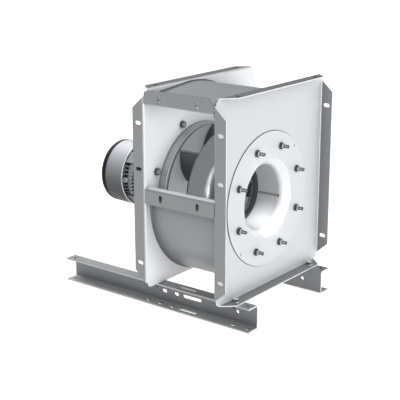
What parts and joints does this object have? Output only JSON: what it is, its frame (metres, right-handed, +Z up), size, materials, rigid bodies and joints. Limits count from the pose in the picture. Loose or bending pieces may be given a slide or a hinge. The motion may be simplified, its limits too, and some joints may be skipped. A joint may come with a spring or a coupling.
{
  "type": "centrifugal smoke extraction fan",
  "caption": "Single-inlet centrifugal smoke extraction fan with open-edged sheet casing, backward-curved impeller, spun inlet nozzle, flange motor and channel base rails.",
  "frame": {"origin": "on the floor under the middle of the base rails, half-way between them and half-way along them", "axes": "+Z up, +Y from the inlet to the motor along the shaft, +X away from the outlet, which faces -X"},
  "size_m": [0.504, 0.66, 0.618],
  "materials": {
    "casing_sheet": "light grey coated sheet steel, satin",
    "rail_sheet": "light grey coated folded steel, satin",
    "mineral_wool": "pressed mineral fibre, matt",
    "zinc_fasteners": "bright zinc plated",
    "machined_steel": "machined steel",
    "cast_frame": "grey painted cast aluminium",
    "cowl_paint": "grey painted pressed steel",
    "copper_winding": "varnished copper wire",
    "black_plastic": "black moulded plastic"
  },
  "bodies": {
    "casing": {"front_side_plate": "casing_sheet", "rear_side_plate": "casing_sheet", "scroll_wrap": "casing_sheet", "outlet_top_brace": "casing_sheet", "outlet_mid_brace": "casing_sheet", "inlet_nozzle": "casing_sheet", "motor_mounting_plate": "casing_sheet", "heat_shield_pan": "casing_sheet", "shaft_seal_disc": "casing_sheet", "rail_left": "rail_sheet", "rail_right": "rail_sheet", "insulation_disc": "mineral_wool", "inlet_bolts": "zinc_fasteners", "inlet_washers": "zinc_fasteners", "inlet_nuts": "zinc_fasteners", "motor_plate_bolts": "zinc_fasteners", "motor_plate_washers": "zinc_fasteners", "motor_plate_nuts": "zinc_fasteners", "motor_flange_bolts": "zinc_fasteners", "motor_flange_washers": "zinc_fasteners", "base_bolts": "zinc_fasteners", "base_washers": "zinc_fasteners", "base_nuts": "zinc_fasteners", "end_shield_screws": "zinc_fasteners", "cowl_screws": "zinc_fasteners", "terminal_box_screws": "zinc_fasteners", "stator_core": "machined_steel", "front_bearing_outer_ring": "machined_steel", "rear_bearing_outer_ring": "machined_steel", "drive_end_flange": "cast_frame", "motor_housing": "cast_frame", "rear_end_shield": "cast_frame", "terminal_box": "cast_frame", "terminal_box_lid": "cast_frame", "fan_cowl": "cowl_paint", "stator_winding": "copper_winding", "terminal_board": "black_plastic", "cable_gland": "black_plastic"},
    "rotor": {"impeller_backplate": "casing_sheet", "impeller_shroud": "casing_sheet", "impeller_blade_1": "casing_sheet", "impeller_blade_2": "casing_sheet", "impeller_blade_3": "casing_sheet", "impeller_blade_4": "casing_sheet", "impeller_blade_5": "casing_sheet", "impeller_blade_6": "casing_sheet", "impeller_blade_7": "casing_sheet", "impeller_hub": "casing_sheet", "hub_rivets": "zinc_fasteners", "shaft_end_washer": "zinc_fasteners", "shaft_end_screw": "zinc_fasteners", "motor_shaft": "machined_steel", "shaft_key": "machined_steel", "rotor_core": "machined_steel", "front_bearing_inner_ring": "machined_steel", "rear_bearing_inner_ring": "machined_steel", "motor_cooling_fan": "black_plastic"}
  },
  "joints": [
    {"name": "impeller_spin", "type": "hinge", "parent": "casing", "child": "rotor", "pos_m": [-0.015, 0, 0.312], "axis": [0, 1, 0], "continuous": true}
  ]
}
